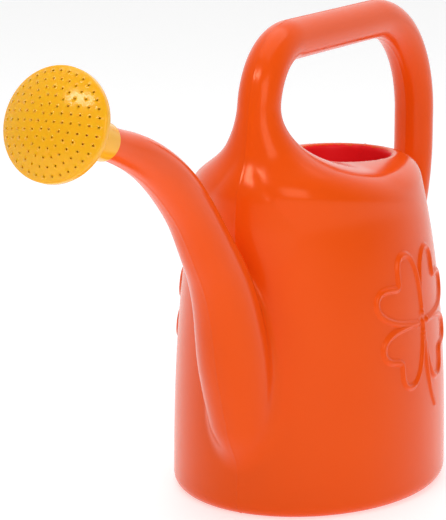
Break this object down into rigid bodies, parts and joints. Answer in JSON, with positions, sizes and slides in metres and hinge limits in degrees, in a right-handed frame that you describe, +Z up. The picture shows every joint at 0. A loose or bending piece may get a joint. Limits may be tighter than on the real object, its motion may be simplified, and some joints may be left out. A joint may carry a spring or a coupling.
{
  "type": "watering can",
  "caption": "Plastic garden watering can with an oval tank, round fill mouth, hollow loop handle, long tapering spout and a push-fit sprinkler rose.",
  "frame": {"origin": "on the ground that the can stands on, in its plane of symmetry, 5 mm in front of the centre of the base ring", "axes": "+Z up, +X away from the spout towards the rear of the handle, so the spout points along -X; the can is symmetric about the plane Y = 0"},
  "size_m": [0.575, 0.2, 0.3603],
  "materials": {
    "can_plastic": "smooth glossy orange polyethylene, blow moulded, with a fine parting line",
    "rose_plastic": "smooth glossy yellow polyethylene, injection moulded"
  },
  "bodies": {
    "can": {"tank_base": "can_plastic", "tank_wall": "can_plastic", "tank_top": "can_plastic", "spout_root": "can_plastic", "spout_neck": "can_plastic", "handle": "can_plastic"},
    "rose_cup": {"rose_cup": "rose_plastic"},
    "rose_face": {"rose_face": "rose_plastic"}
  },
  "joints": [
    {"name": "rose_pull_off", "type": "slide", "parent": "can", "child": "rose_cup", "axis": [-0.9455, 0, 0.3256], "range_m": [0, 0.06]},
    {"name": "face_snap_off", "type": "slide", "parent": "rose_cup", "child": "rose_face", "axis": [-0.9455, 0, 0.3256], "range_m": [0, 0.03]}
  ]
}
